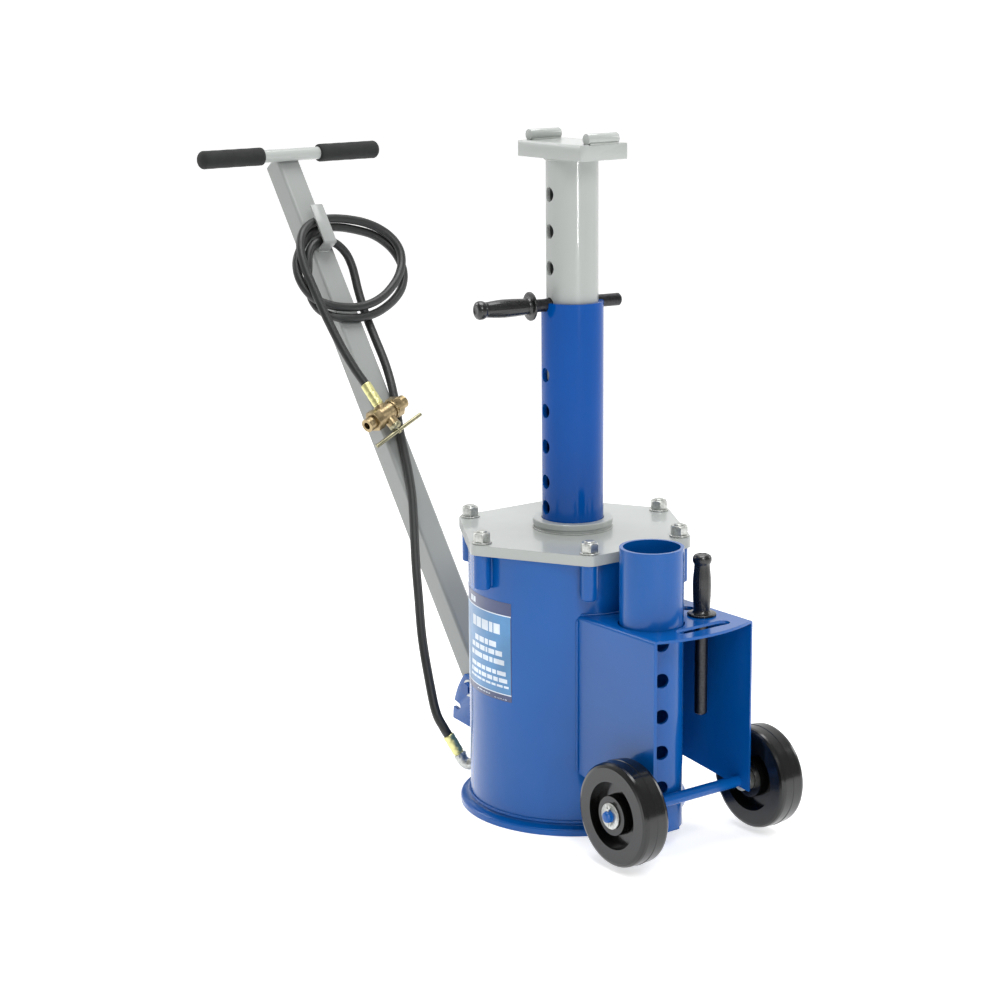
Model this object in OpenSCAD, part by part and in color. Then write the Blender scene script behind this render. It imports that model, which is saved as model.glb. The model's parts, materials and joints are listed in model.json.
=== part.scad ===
// Air-operated lift jack and support stand on a two-wheel carriage.
// The origin is the middle of the base plate's underside, where the jack meets the floor.
// +Z is up along the ram, +Y points to the tow handle, and X runs along the axle and the lock pins.

/* [Air cylinder] */
// Outer diameter of the air cylinder
cyl_d = 368; // [364:2:372]
// Wall of the air cylinder
cyl_wall = 8; // [6:1:10]
// Diameter of the base plate
base_d = 404; // [400:2:420]
// Thickness of the base plate
base_t = 12; // [10:1:14]
// Height of the top plate's upper face
body_h = 500; // [490:5:520]
// Thickness of the top plate
top_t = 18; // [15:1:20]
// Radius of the circle of the top plate's bolts
bolt_circle_r = 197; // [196:1:200]

/* [Ram and post] */
// Outer diameter of the ram, and of the extension tube
ram_d = 108; // [106:1:108]
// Outer diameter of the inner post
post_d = 90; // [88:1:90]
// Height of the ram's rim as drawn, near the top of its stroke
ram_rim_z = 898; // [880:1:898]
// Distance from one pin hole to the next
hole_pitch = 62.5; // [60:0.5:64]
// Diameter of the pin holes
hole_d = 25; // [24:0.5:26]
// Diameter of the lock pins
pin_d = 22; // [20:0.5:22]

/* [Saddle] */
// Width of the saddle plate along the axle's direction
saddle_x = 100; // [90:2:110]
// Length of the saddle plate
saddle_y = 176; // [160:2:180]
// Thickness of the saddle plate
saddle_t = 27; // [20:1:30]

/* [Carriage] */
// Width over the carriage's two cheeks
carriage_w = 215; // [210:1:216]
// Height of the carriage shelf
shelf_z = 389; // [380:1:392]
// Diameter of the wheels
wheel_d = 178; // [170:2:180]
// Width of the wheels
wheel_w = 52; // [50:1:54]

/* [Handle] */
// Lean of the tow handle from upright, where it rests on its stop
handle_lean = 36; // [34:1:38]
// Side of the handle's square tube
bar_w = 50; // [48:1:50]
// Length of the cross handle
t_bar_l = 402; // [390:4:414]

/* [Hose] */
// Diameter of the air hose
hose_d = 17; // [16:0.5:17]

/* [Hidden] */
$fn = 72;

// Colours
blue = [0.05, 0.22, 0.62];
grey = [0.72, 0.73, 0.71];
zinc = [0.78, 0.79, 0.80];
brass = [0.80, 0.63, 0.28];
bronze = [0.52, 0.42, 0.27];
black = [0.08, 0.08, 0.09];
dark_steel = [0.24, 0.24, 0.25];

// Fits
run_gap = 0.06;      // radial gap of a shaft that turns or slides in its bore
free_gap = 0.5;      // radial gap where parts only pass each other

// Air cylinder
cyl_r = cyl_d / 2;
bore_r = cyl_r - cyl_wall;
ram_r = ram_d / 2;
post_r = post_d / 2;
hole_r = hole_d / 2;
pin_r = pin_d / 2;
gasket_t = 2;
top_z = body_h - top_t;
bolt_r = 9;
boss_r = 15;
boss_l = 62;
stud_depth = 44;
stud_proud = 2.5;
nut_l = 16.5;
corner_r = 20;
bush_r = 60;
collar_r = 70;
collar_t = 18;
washer_t = 3;
inlet_az = 122;
inlet_z = 38;
drain_az = 304;
drain_z = 44;

// Ram
piston_z = 370;
piston_t = 40;
piston_floor_t = 14;
piston_r = bore_r - 1;
seal_gap = 0.08;
ram_bore_r = post_r + free_gap;
pin_below_rim = 4;
pin_z = ram_rim_z - pin_below_rim;
post_bottom_z = 738;
post_top_z = 1142;
post_bore_r = post_r - 7;
saddle_top_z = post_top_z + saddle_t;
bar_r = 9.5;
saddle_bar_l = 65;

// Lock pins
rod_l = 174;
grip_l = 106;
tang_r = 8;
tang_l = 90;
post_pin_x = -80;
pin_turn = -9;       // turn of the ram's and the post's pin holes from the X axis
stored_pin_at = [60, -275];
spare_hole_at = [68, -228];

// Extension tube
tube_at = [-38, -260];
tube_bottom_z = 38;
tube_l = 482;
tube_turn = 69;

// Carriage
cheek_t = 5;
front_y = -350;
shelf_bow = 21;
slot_w = 24;
axle_y = -325;
axle_z = 99;
axle_r = 10;
axle_end_x = 190;
wheel_r = wheel_d / 2;
wheel_face_x = 176;
wheel_back_x = wheel_face_x - wheel_w;
bush_outer_r = 16;

// Handle
pivot = [0, 270, 143];
pivot_r = 8;
bar_half = bar_w / 2;
bar_foot = -38;
bar_top = 1152;
t_bar_s = 1146;
t_bar_r = 12.7;
t_bar_n = bar_half + t_bar_r;
grip_r = 18;
ear_t = 8;
ear_x = bar_half + 1.5;
hook_s = 931;
hook_w = 28;
hook_t = 5;
hook_out = 60;

// Hose and its valve, in the handle's own directions: across, up the bar, out of its face
valve_at = [-28, 550, 60];
valve_tilt = 22;
lever_turn = -12;
tail_ferrule_at = [-34.9, 567.3, 59.9];
elbow_out = 26;
ferrule_l = 40;
elbow_dir = [-0.33, 0.41, 0.85];
lower_route = [
    [-141, 226, 128], [-134, 256, 178], [-117, 302, 247], [-92, 348, 309], [-67.5, 392.2, 369]
];
upper_route = [
    [-67, 256, 34], [-26, 370, 34], [-9, 434, 34], [5, 510, 34], [26, 600, 33], [38, 665, 27],
    [43, 730, 19.5], [45, 780, 16], [47, 815, 16], [50, 845, 16.5], [53, 870, 18], [53, 894, 22],
    [46, 919, 28], [27, 939, 34.5], [1, 946.5, 39], [-25, 939.5, 39.5]
];
coil_route = [
    [-25, 939.5, 39.5], [-44, 920, 37], [-53, 895, 32], [-59, 872, 25], [-62, 850, 19.5],
    [-62.5, 829, 17.5], [-58, 808, 19.5], [-48, 791, 25], [-32, 779, 31], [-11, 773, 34],
    [15, 771, 34], [48, 775, 34], [78, 785, 34], [110, 802, 33], [135, 822, 32.5],
    [151, 844, 32.5], [159, 865, 32.5], [160.5, 884, 32.5], [158, 902, 32.5], [151.5, 919.5, 32.3],
    [141.8, 933.3, 32.4], [129.5, 945.5, 32.7], [115, 955, 33], [98, 962, 33], [79, 968, 33.5],
    [59, 973, 34], [38, 976, 34], [16, 976, 34], [-6, 972, 34], [-28, 962, 34],
    [-47, 944, 33.5], [-64, 925, 33.5], [-76, 906, 33.5], [-82, 887, 33.5], [-84, 869, 34],
    [-82, 851, 34.5], [-76, 834, 35], [-66, 819, 36.5], [-51, 806.5, 39.5], [-30, 797, 41.5],
    [-7, 792, 42.5], [16, 790, 43.5], [37, 792, 45], [58, 797, 46.5], [83, 808, 48],
    [108, 825, 49.5], [128, 843, 50], [143, 862, 50], [152.5, 881, 50], [157, 901, 50],
    [155, 920, 49.5], [147.5, 937, 49], [135, 952, 48.5], [118, 965, 48], [98, 975, 47.5],
    [77, 982, 46.5], [54, 987, 46], [30, 989.5, 46], [6, 988.5, 46], [-17, 982.5, 47],
    [-38, 970.5, 49.5], [-54, 954, 51]
];
tail_route = [
    [-54, 954, 51], [-64.5, 935, 51], [-71, 915, 51.5], [-74, 894, 52], [-75, 872, 52],
    [-74.5, 850, 52.5], [-73.5, 823, 53], [-72, 798, 53], [-70, 768, 53], [-64, 710, 54],
    [-55.5, 660, 55.5], [-44.5, 618, 57]
];

// A vector's direction, at length 1
function unit(v) = v / norm(v);
// A place given in the handle's own directions, in the jack's frame
function on_handle(p) = pivot + [p[0], p[1] * sin(handle_lean) - p[2] * cos(handle_lean),
                                 p[1] * cos(handle_lean) + p[2] * sin(handle_lean)];
handle_out = [0, -cos(handle_lean), sin(handle_lean)];
elbow_at = [(cyl_r + elbow_out) * cos(inlet_az), (cyl_r + elbow_out) * sin(inlet_az), inlet_z];
ferrule_end = elbow_at + unit(elbow_dir) * (20 + ferrule_l);

// Catmull-Rom curve through the points of a route, with the given steps in each stretch
function curve_point(a, b, c, d, t) =
    0.5 * (2 * b + (c - a) * t + (2 * a - 5 * b + 4 * c - d) * t * t
           + (3 * b - a - 3 * c + d) * t * t * t);
function at_or_end(p, i) = p[max(0, min(len(p) - 1, i))];
function smooth_route(p, steps) = concat(
    [for (i = [0:len(p) - 2], t = steps)
        curve_point(at_or_end(p, i - 1), p[i], p[i + 1], at_or_end(p, i + 2), t)],
    [p[len(p) - 1]]);

// Round tube swept along a route as one closed polyhedron
module swept_hose(route, sides = 10, steps = [0, 0.5]) {
    p = smooth_route(route, steps);
    last = len(p) - 1;
    tangents = [for (i = [0:last]) unit(p[min(i + 1, last)] - p[max(i - 1, 0)])];
    rings = [for (i = [0:last])
        let (side = unit(cross(tangents[i], handle_out)), out = cross(side, tangents[i]))
        [for (k = [0:sides - 1])
            p[i] + hose_d / 2 * (cos(360 * k / sides) * side + sin(360 * k / sides) * out)]];
    points = [for (ring = rings) each ring];
    walls = [for (i = [0:last - 1], k = [0:sides - 1])
        let (a = i * sides + k, b = i * sides + (k + 1) % sides)
        each [[a, a + sides, b], [b, a + sides, b + sides]]];
    caps = [[for (k = [0:sides - 1]) k], [for (k = [sides - 1:-1:0]) last * sides + k]];
    polyhedron(points, concat(walls, caps), convexity = 8);
}

module ring(outer, inner, h) {
    difference() {
        cylinder(r = outer, h = h);
        translate([0, 0, -1]) cylinder(r = inner, h = h + 2);
    }
}

// Hexagonal prism by its width across flats
module hex(across, h) { cylinder(r = across / 2 / cos(30), h = h, $fn = 6); }

// Children stand at a place with their own +Z along a direction
module pointing(at, dir) {
    u = unit(dir);
    translate(at) rotate([0, acos(u[2]), atan2(u[1], u[0])]) children();
}

module at_bolts() {
    for (k = [0:5])
        rotate([0, 0, 60 * k]) translate([bolt_circle_r, 0, 0]) children();
}

// Pin holes through a tube along X at the given heights
module pin_holes(heights) {
    for (z = heights)
        rotate([0, 0, pin_turn]) translate([-ram_r - 5, 0, z]) rotate([0, 90, 0])
            cylinder(r = hole_r, h = ram_d + 10);
}

// Rectangle with round corners
module rounded(w, l, r) {
    square([w - 2 * r, l], center = true);
    square([w, l - 2 * r], center = true);
    for (x = [-1, 1], y = [-1, 1])
        translate([x * (w / 2 - r), y * (l / 2 - r)]) circle(r = r);
}

// ---- Air cylinder ----

// Round foot with the weld fillet that runs round the cylinder
module base_plate() {
    base_r = base_d / 2;
    fillet = 7;
    color(blue) rotate_extrude() polygon([
        [0, 0], [base_r - 1, 0], [base_r, 1], [base_r, base_t - 2], [base_r - 2, base_t],
        [cyl_r + fillet, base_t], [cyl_r + fillet * 0.3, base_t + fillet * 0.3],
        [cyl_r, base_t + fillet], [cyl_r, base_t], [0, base_t]]);
}

module cylinder_tube() {
    color(blue) difference() {
        translate([0, 0, base_t]) ring(cyl_r, bore_r, top_z - gasket_t - base_t);
        rotate([0, 0, inlet_az]) translate([bore_r - 5, 0, inlet_z]) rotate([0, 90, 0])
            cylinder(r = 9, h = cyl_wall + 10);
        rotate([0, 0, drain_az]) translate([bore_r - 5, 0, drain_z]) rotate([0, 90, 0])
            cylinder(r = 9, h = cyl_wall + 10);
        rotate([0, 0, 70]) translate([bore_r - 5, 0, top_z - 12]) rotate([0, 90, 0])
            cylinder(r = 3, h = cyl_wall + 10);
    }
}

// Round bosses welded to the cylinder's side, each with a blind hole for its stud
module bolt_bosses() {
    color(blue) difference() {
        at_bolts() translate([0, 0, top_z - boss_l]) rotate_extrude() polygon([
            [0, 0], [boss_r - 2, 0], [boss_r, 2], [boss_r, boss_l], [bolt_r, boss_l],
            [bolt_r, boss_l - stud_depth], [0, boss_l - stud_depth - 4]]);
        translate([0, 0, top_z - boss_l - 1]) cylinder(r = cyl_r, h = boss_l + 2);
    }
}

module cylinder_gasket() {
    color(black) translate([0, 0, top_z - gasket_t]) ring(cyl_r - 0.5, bore_r, gasket_t);
}

// Hexagonal cover with a rounded corner round each bolt
module top_plate() {
    color(grey) translate([0, 0, top_z]) difference() {
        linear_extrude(top_t) {
            polygon([for (k = [0:5], side = [-30, 30])
                bolt_circle_r * [cos(60 * k), sin(60 * k)]
                + corner_r * [cos(60 * k + side), sin(60 * k + side)]]);
            for (k = [0:5])
                translate(bolt_circle_r * [cos(60 * k), sin(60 * k)]) circle(r = corner_r);
        }
        translate([0, 0, -1]) cylinder(r = bush_r, h = top_t + 2);
        at_bolts() translate([0, 0, -1]) cylinder(r = bolt_r + 0.5, h = top_t + 2);
    }
}

module guide_collar() {
    color(grey) translate([0, 0, body_h]) rotate_extrude() polygon([
        [bush_r, 0], [collar_r - 2.5, 0], [collar_r - 2.5, 7], [collar_r - 1, 7], [collar_r, 8],
        [collar_r, collar_t - 1.5], [collar_r - 1.5, collar_t], [ram_r + 0.8, collar_t],
        [ram_r + 0.8, collar_t - 2.5], [bush_r, collar_t - 2.5]]);
}

module guide_bushing() {
    color(bronze) translate([0, 0, top_z]) ring(bush_r, ram_r + run_gap, top_t + collar_t - 7);
}

// Soft ring under the collar's lip that keeps dirt off the ram
module ram_wiper() {
    wiper_z = body_h + collar_t - 7;
    color(black) translate([0, 0, wiper_z]) ring(bush_r, ram_r + 0.4, 4.4);
}

// Studs
module top_bolts() {
    stud_l = stud_depth + top_t + washer_t + nut_l + stud_proud;
    color(zinc) at_bolts() translate([0, 0, top_z - stud_depth]) rotate_extrude() polygon([
        [0, 0], [bolt_r, 0], [bolt_r, stud_l - 1.5], [bolt_r - 1.5, stud_l], [0, stud_l]]);
}

module top_washers() {
    color(zinc) translate([0, 0, body_h]) at_bolts() ring(boss_r + 2, bolt_r + 0.5, washer_t);
}

module top_nuts() {
    across = 27;
    corner = across / 2 / cos(30);
    color(zinc) translate([0, 0, body_h + washer_t]) at_bolts() difference() {
        intersection() {
            hex(across, nut_l);
            rotate_extrude() polygon([
                [0, 0], [corner - 1.7, 0], [corner, 1.1], [corner, nut_l - 3],
                [corner - 2.6, nut_l], [0, nut_l]]);
        }
        translate([0, 0, -1]) cylinder(r = bolt_r, h = nut_l + 2);
    }
}

module piston_bumper() {
    color(black) translate([0, 0, base_t]) ring(150, 90, 6);
}

// Bent pipe fitting that leads the air in low on the cylinder's side
module inlet_elbow() {
    color(zinc) {
        rotate([0, 0, inlet_az]) translate([bore_r, 0, inlet_z]) rotate([0, 90, 0])
            cylinder(r = 9, h = cyl_wall);
        rotate([0, 0, inlet_az]) translate([cyl_r, 0, inlet_z]) rotate([0, 90, 0])
            cylinder(r = 11, h = elbow_out - 3);
        translate(elbow_at) sphere(r = 13);
        pointing(elbow_at, elbow_dir) {
            cylinder(r = 10, h = 14);
            translate([0, 0, 13]) hex(23, 7);
        }
    }
}

module drain_plug() {
    color(zinc) rotate([0, 0, drain_az]) translate([bore_r, 0, drain_z]) rotate([0, 90, 0]) {
        cylinder(r = 9, h = cyl_wall + 1);
        translate([0, 0, cyl_wall + 1]) rotate_extrude() polygon([
            [0, 0], [18, 0], [18, 6], [15, 9], [0, 9]]);
    }
}

// Thin printed panel that wraps round the cylinder's side
module rating_label() {
    color([0.35, 0.55, 0.78]) rotate([0, 0, 138]) rotate_extrude(angle = 59)
        translate([cyl_r, 224]) square([0.5, 176]);
}

// ---- Carriage ----

// One bent sheet: two cheeks and the shelf that joins them, whose front edge bows outwards
module carriage_channel() {
    bend_r = 7;
    half = carriage_w / 2;
    bow_r = (half * half + shelf_bow * shelf_bow) / 2 / shelf_bow;
    reach = front_y - shelf_bow - 2;
    color(blue) difference() {
        intersection() {
            rotate([90, 0, 0]) linear_extrude(-reach) difference() {
                union() {
                    square([carriage_w - 2 * bend_r, 2 * shelf_z], center = true);
                    square([carriage_w, 2 * shelf_z - 2 * bend_r], center = true);
                    for (x = [-1, 1])
                        translate([x * (half - bend_r), shelf_z - bend_r]) circle(r = bend_r);
                }
                square([carriage_w - 2 * cheek_t, 2 * (shelf_z - cheek_t)], center = true);
            }
            rotate([90, 0, 90]) linear_extrude(carriage_w + 2, center = true) polygon([
                [reach, 84], [reach, shelf_z + 1], [0, shelf_z + 1], [0, 126]]);
            translate([0, front_y - shelf_bow + bow_r, 0])
                cylinder(r = bow_r, h = body_h, $fn = 180);
        }
        translate([0, 0, -1]) cylinder(r = cyl_r, h = body_h);
        translate([-carriage_w, axle_y, axle_z]) rotate([0, 90, 0])
            cylinder(r = axle_r, h = 2 * carriage_w);
        translate([tube_at[0], tube_at[1], shelf_z - 20]) cylinder(r = ram_r + 2, h = 40);
        for (p = [stored_pin_at, spare_hole_at])
            translate([p[0], p[1], shelf_z - 20]) cylinder(r = hole_r, h = 40);
        translate([13, -332, shelf_z - 20]) linear_extrude(40)
            rounded(112, slot_w, slot_w / 2 - 0.1);
    }
}

// Ledge low on the cylinder that the extension tube stands on
module tube_rest() {
    rest_t = 8;
    color(blue) difference() {
        translate([tube_at[0] - 30, tube_at[1] - 42, tube_bottom_z - rest_t])
            cube([60, 120, rest_t]);
        cylinder(r = cyl_r, h = 60);
    }
}

module axle() {
    dome = 5;
    color(blue) translate([-axle_end_x, axle_y, axle_z]) rotate([0, 90, 0]) difference() {
        rotate_extrude() polygon([
            [0, 0], [axle_r - dome, 0], [axle_r - 1.5, 1.5], [axle_r, dome],
            [axle_r, 2 * axle_end_x - dome], [axle_r - 1.5, 2 * axle_end_x - 1.5],
            [axle_r - dome, 2 * axle_end_x], [0, 2 * axle_end_x]]);
        for (z = [7, 2 * axle_end_x - 7])
            translate([-axle_r - 5, 0, z]) rotate([0, 90, 0]) cylinder(r = 2, h = 2 * axle_r + 10);
    }
}

module axle_spacers() {
    gap = 0.4;
    spacer_l = wheel_back_x - gap - carriage_w / 2;
    color(zinc) for (side = [0, 1])
        mirror([side, 0, 0]) translate([carriage_w / 2, axle_y, axle_z]) rotate([0, 90, 0])
            ring(19, axle_r, spacer_l);
}

module axle_washers() {
    gap = 0.4;
    color(zinc) for (side = [0, 1])
        mirror([side, 0, 0]) translate([wheel_face_x + gap, axle_y, axle_z]) rotate([0, 90, 0])
            ring(22, axle_r, 3);
}

// Split pins through the axle's ends, each with its eye and one leg bent over
module cotter_pins() {
    color(zinc) for (side = [0, 1])
        mirror([side, 0, 0]) translate([axle_end_x - 7, axle_y, axle_z]) {
            translate([0, 0, -axle_r - 7]) cylinder(r = 1.9, h = 2 * axle_r + 11);
            translate([0, 0, axle_r + 7]) rotate([0, 90, 0]) rotate_extrude()
                translate([4, 0]) circle(r = 1.5, $fn = 24);
        }
}

// ---- Handle bracket ----

// Two plates on the cylinder's back, each with a notch in its round edge
module handle_ears() {
    ear_r = 140;
    foot_z = 70;
    notch_r = 6.5;
    color(blue) difference() {
        for (side = [-1, 1])
            translate([side * (ear_x + ear_t / 2), cyl_r, foot_z]) rotate([90, 0, 90])
                linear_extrude(ear_t, center = true) difference() {
                    intersection() {
                        circle(r = ear_r);
                        polygon([[-20, -11], [90, -3], [145, 2], [145, 90], [100, 97], [-20, 99]]);
                    }
                    rotate(13) {
                        translate([ear_r - 14, -notch_r]) square([30, 2 * notch_r]);
                        translate([ear_r - 14, 0]) circle(r = notch_r);
                    }
                }
        cylinder(r = cyl_r, h = body_h);
        translate([-60, pivot[1], pivot[2]]) rotate([0, 90, 0]) cylinder(r = pivot_r, h = 120);
    }
}

// Round bar between the ears that the handle's foot leans on
module handle_stop() {
    at = on_handle([0, -25, bar_half + 8.3]);
    color(blue) translate([-ear_x, at[1], at[2]]) rotate([0, 90, 0])
        cylinder(r = 8, h = 2 * ear_x);
}

module pivot_bolt() {
    head_x = -ear_x - ear_t - 2;
    color(zinc) translate([head_x, pivot[1], pivot[2]]) rotate([0, 90, 0]) {
        cylinder(r = pivot_r, h = 2 * (ear_x + ear_t) + 18);
        translate([0, 0, -9]) hex(22, 9);
    }
}

module pivot_washers() {
    color(zinc) for (x = [-ear_x - ear_t - 2, ear_x + ear_t])
        translate([x, pivot[1], pivot[2]]) rotate([0, 90, 0]) ring(16, pivot_r, 2);
}

module pivot_nut() {
    color(zinc) translate([ear_x + ear_t + 2, pivot[1], pivot[2]]) rotate([0, 90, 0])
        difference() {
            hex(22, 11);
            translate([0, 0, -1]) cylinder(r = pivot_r, h = 13);
        }
}

// ---- Ram ----

module ram_tube() {
    foot_z = piston_z + piston_floor_t;
    hole_heights = concat([for (k = [2:5]) pin_z + pin_below_rim - k * hole_pitch], [540]);
    notch_r = pin_r + 0.4;
    color(blue) difference() {
        translate([0, 0, foot_z]) ring(ram_r, ram_bore_r, ram_rim_z - foot_z);
        pin_holes(hole_heights);
        rotate([0, 0, pin_turn]) translate([-ram_r - 5, 0, pin_z]) {
            rotate([0, 90, 0]) cylinder(r = notch_r, h = ram_d + 10);
            translate([0, -notch_r, 0]) cube([ram_d + 10, 2 * notch_r, 20]);
        }
    }
}

// Plate in the ram's foot that the piston is bolted to
module ram_plug() {
    color(dark_steel) translate([0, 0, piston_z + piston_floor_t]) difference() {
        cylinder(r = ram_bore_r, h = 20);
        at_piston_bolts() translate([0, 0, -1]) cylinder(r = 6.2, h = 22);
    }
}

module at_piston_bolts() {
    for (k = [0:3]) rotate([0, 0, 90 * k + 45]) translate([28, 0, 0]) children();
}

// Dished piston with a groove for its seal and one for its guide band
module piston() {
    color([0.6, 0.61, 0.62]) difference() {
        translate([0, 0, piston_z]) rotate_extrude() polygon([
            [0, 0], [piston_r - 1, 0], [piston_r, 1], [piston_r, 6], [piston_r - 10, 6],
            [piston_r - 10, 18], [piston_r, 18], [piston_r, 24], [piston_r - 4, 24],
            [piston_r - 4, 34], [piston_r, 34], [piston_r, piston_t - 1],
            [piston_r - 1, piston_t], [piston_r - 18, piston_t],
            [piston_r - 18, piston_floor_t], [0, piston_floor_t]]);
        translate([0, 0, piston_z]) at_piston_bolts() {
            translate([0, 0, -1]) cylinder(r = 6.2, h = 30);
            translate([0, 0, -1]) cylinder(r = 12, h = 9);
        }
    }
}

module piston_seal() {
    seal_r = bore_r - seal_gap;
    color(black) translate([0, 0, piston_z + 6]) rotate_extrude() polygon([
        [piston_r - 10, 0], [seal_r, 0], [seal_r, 4], [piston_r - 1, 7], [piston_r - 2, 12],
        [piston_r - 10, 12]]);
}

module wear_ring() {
    color([0.85, 0.83, 0.76]) translate([0, 0, piston_z + 24])
        ring(bore_r - seal_gap, piston_r - 4, 10);
}

module piston_bolts() {
    color(zinc) translate([0, 0, piston_z]) at_piston_bolts() {
        translate([0, 0, 0.5]) hex(18, 7.5);
        translate([0, 0, 8]) cylinder(r = 6, h = 24);
    }
}

// ---- Post and saddle ----

module post_tube() {
    color(grey) difference() {
        translate([0, 0, post_bottom_z]) ring(post_r, post_bore_r, post_top_z - post_bottom_z);
        pin_holes([for (k = [-1:3]) pin_z + k * hole_pitch]);
    }
}

module saddle_plate() {
    color(grey) difference() {
        translate([0, 0, post_top_z]) linear_extrude(saddle_t) rounded(saddle_x, saddle_y, 3);
        for (y = [-1, 1])
            translate([-saddle_bar_l / 2 - 0.5, y * (saddle_y / 2 - bar_r) - bar_r - 0.5,
                saddle_top_z - 1]) cube([saddle_bar_l + 1, 2 * bar_r + 1, 2]);
    }
}

// Two round bars, each in a shallow seat, that keep an axle from sliding off the plate
module saddle_bars() {
    color(grey) for (y = [-1, 1])
        translate([-saddle_bar_l / 2, y * (saddle_y / 2 - bar_r), saddle_top_z + bar_r - 1])
            rotate([0, 90, 0]) cylinder(r = bar_r, h = saddle_bar_l);
}

// ---- Lock pins: rod along +Z from the flange's face, grip along -Z ----

module pin_rod() {
    color(dark_steel) rotate_extrude() polygon([
        [0, -tang_l], [tang_r, -tang_l], [tang_r, 0], [pin_r, 0], [pin_r, rod_l - 3],
        [pin_r - 3, rod_l], [0, rod_l]]);
}

// Moulded grip with a flange at the rod and a knob at its end
module pin_grip() {
    color(black) rotate_extrude() polygon([
        [tang_r, 0], [23.8, 0], [24.8, -1], [24.8, -3.5], [23.3, -4.5], [16, -5], [14, -9],
        [14.6, -19], [15.5, -35], [15.8, -50], [15.3, -66], [13.8, -82], [13.8, 17 - grip_l],
        [15.8, 13 - grip_l], [16.2, 9 - grip_l], [15.8, 5 - grip_l], [13.5, 1.5 - grip_l],
        [9, -grip_l], [0, -grip_l], [0, -tang_l], [tang_r, -tang_l]]);
}

module at_post_pin() {
    rotate([0, 0, pin_turn]) translate([post_pin_x, 0, pin_z]) rotate([0, 90, 0]) children();
}
module at_stored_pin() {
    translate([stored_pin_at[0], stored_pin_at[1], shelf_z]) rotate([180, 0, 0]) children();
}
module post_pin_rod() { at_post_pin() pin_rod(); }
module post_pin_grip() { at_post_pin() pin_grip(); }
module stored_pin_rod() { at_stored_pin() pin_rod(); }
module stored_pin_grip() { at_stored_pin() pin_grip(); }

// ---- Extension tube, kept in the carriage ----

module extension_tube() {
    color(blue) translate([tube_at[0], tube_at[1], tube_bottom_z]) rotate([0, 0, tube_turn])
        difference() {
            ring(ram_r, ram_r - 6, tube_l);
            for (k = [0:4])
                translate([-ram_r - 5, 0, 78 + k * hole_pitch]) rotate([0, 90, 0])
                    cylinder(r = hole_r, h = ram_d + 10);
        }
}

// ---- Wheels ----

// Moulded wheel with a grooved tread and a deep ring in each face
module wheel() {
    hub_r = 33;
    rim_r = 57;
    web = 7;
    middle = wheel_w / 2;
    color(black) translate([wheel_back_x, axle_y, axle_z]) rotate([0, 90, 0])
        rotate_extrude($fn = 96) polygon([
            [bush_outer_r, 0], [hub_r, 0], [hub_r + 2, middle - web], [rim_r - 2, middle - web],
            [rim_r, 0], [wheel_r - 9, 0], [wheel_r - 4.5, 1.5], [wheel_r - 1.8, 5],
            [wheel_r - 0.9, 9], [wheel_r - 0.7, middle - 1.4], [wheel_r, middle - 0.7],
            [wheel_r, middle + 0.7], [wheel_r - 0.7, middle + 1.4], [wheel_r - 0.9, wheel_w - 9],
            [wheel_r - 1.8, wheel_w - 5],
            [wheel_r - 4.5, wheel_w - 1.5], [wheel_r - 9, wheel_w], [rim_r, wheel_w],
            [rim_r - 2, middle + web], [hub_r + 2, middle + web], [hub_r, wheel_w],
            [bush_outer_r, wheel_w]]);
}

module wheel_bush() {
    color([0.80, 0.78, 0.70]) translate([wheel_back_x, axle_y, axle_z]) rotate([0, 90, 0])
        ring(bush_outer_r, axle_r + run_gap, wheel_w);
}

module wheel_right() { wheel(); }
module wheel_right_bush() { wheel_bush(); }
module wheel_left() { mirror([1, 0, 0]) wheel(); }
module wheel_left_bush() { mirror([1, 0, 0]) wheel_bush(); }

// ---- Tow handle: drawn with +Z up the bar and -Y out of its upper face ----

module handle_frame() { translate(pivot) rotate([-handle_lean, 0, 0]) children(); }

module handle_bar() {
    wall = 4;
    color(grey) handle_frame() difference() {
        translate([0, 0, bar_foot]) linear_extrude(bar_top - bar_foot) difference() {
            rounded(bar_w, bar_w, 6);
            rounded(bar_w - 2 * wall, bar_w - 2 * wall, 3);
        }
        translate([-60, 0, 0]) rotate([0, 90, 0]) cylinder(r = pivot_r + run_gap, h = 120);
    }
}

module t_bar() {
    color(grey) handle_frame() translate([-t_bar_l / 2, -t_bar_n, t_bar_s]) rotate([0, 90, 0])
        ring(t_bar_r, t_bar_r - 3, t_bar_l);
}

// Foam sleeve with a closed round end
module grip() {
    from = 65;
    end_t = 8;
    sleeve_l = t_bar_l / 2 + end_t - from;
    color(black) handle_frame() translate([from, -t_bar_n, t_bar_s]) rotate([0, 90, 0])
        rotate_extrude() polygon([
            [t_bar_r, 0], [grip_r - 3, 0], [grip_r, 3], [grip_r, sleeve_l - 7],
            [grip_r - 2, sleeve_l - 2.5], [grip_r - 7, sleeve_l], [0, sleeve_l],
            [0, sleeve_l - end_t], [t_bar_r, sleeve_l - end_t]]);
}

module grip_right() { grip(); }
module grip_left() { mirror([1, 0, 0]) grip(); }

// Bent flat bar on the handle that the coiled hose hangs on
module hose_hook() {
    color(grey) handle_frame() rotate([90, 0, 90]) linear_extrude(hook_w, center = true) polygon([
        [-bar_half, hook_s - 2], [-hook_out + 3, hook_s - 2], [-hook_out, hook_s + 1],
        [-hook_out, hook_s + 84], [-hook_out + 1, hook_s + 86], [-hook_out + 4, hook_s + 86],
        [-hook_out + hook_t, hook_s + 84], [-hook_out + hook_t, hook_s + 3],
        [-bar_half, hook_s + 3]]);
}

// ---- Hose ----

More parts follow.
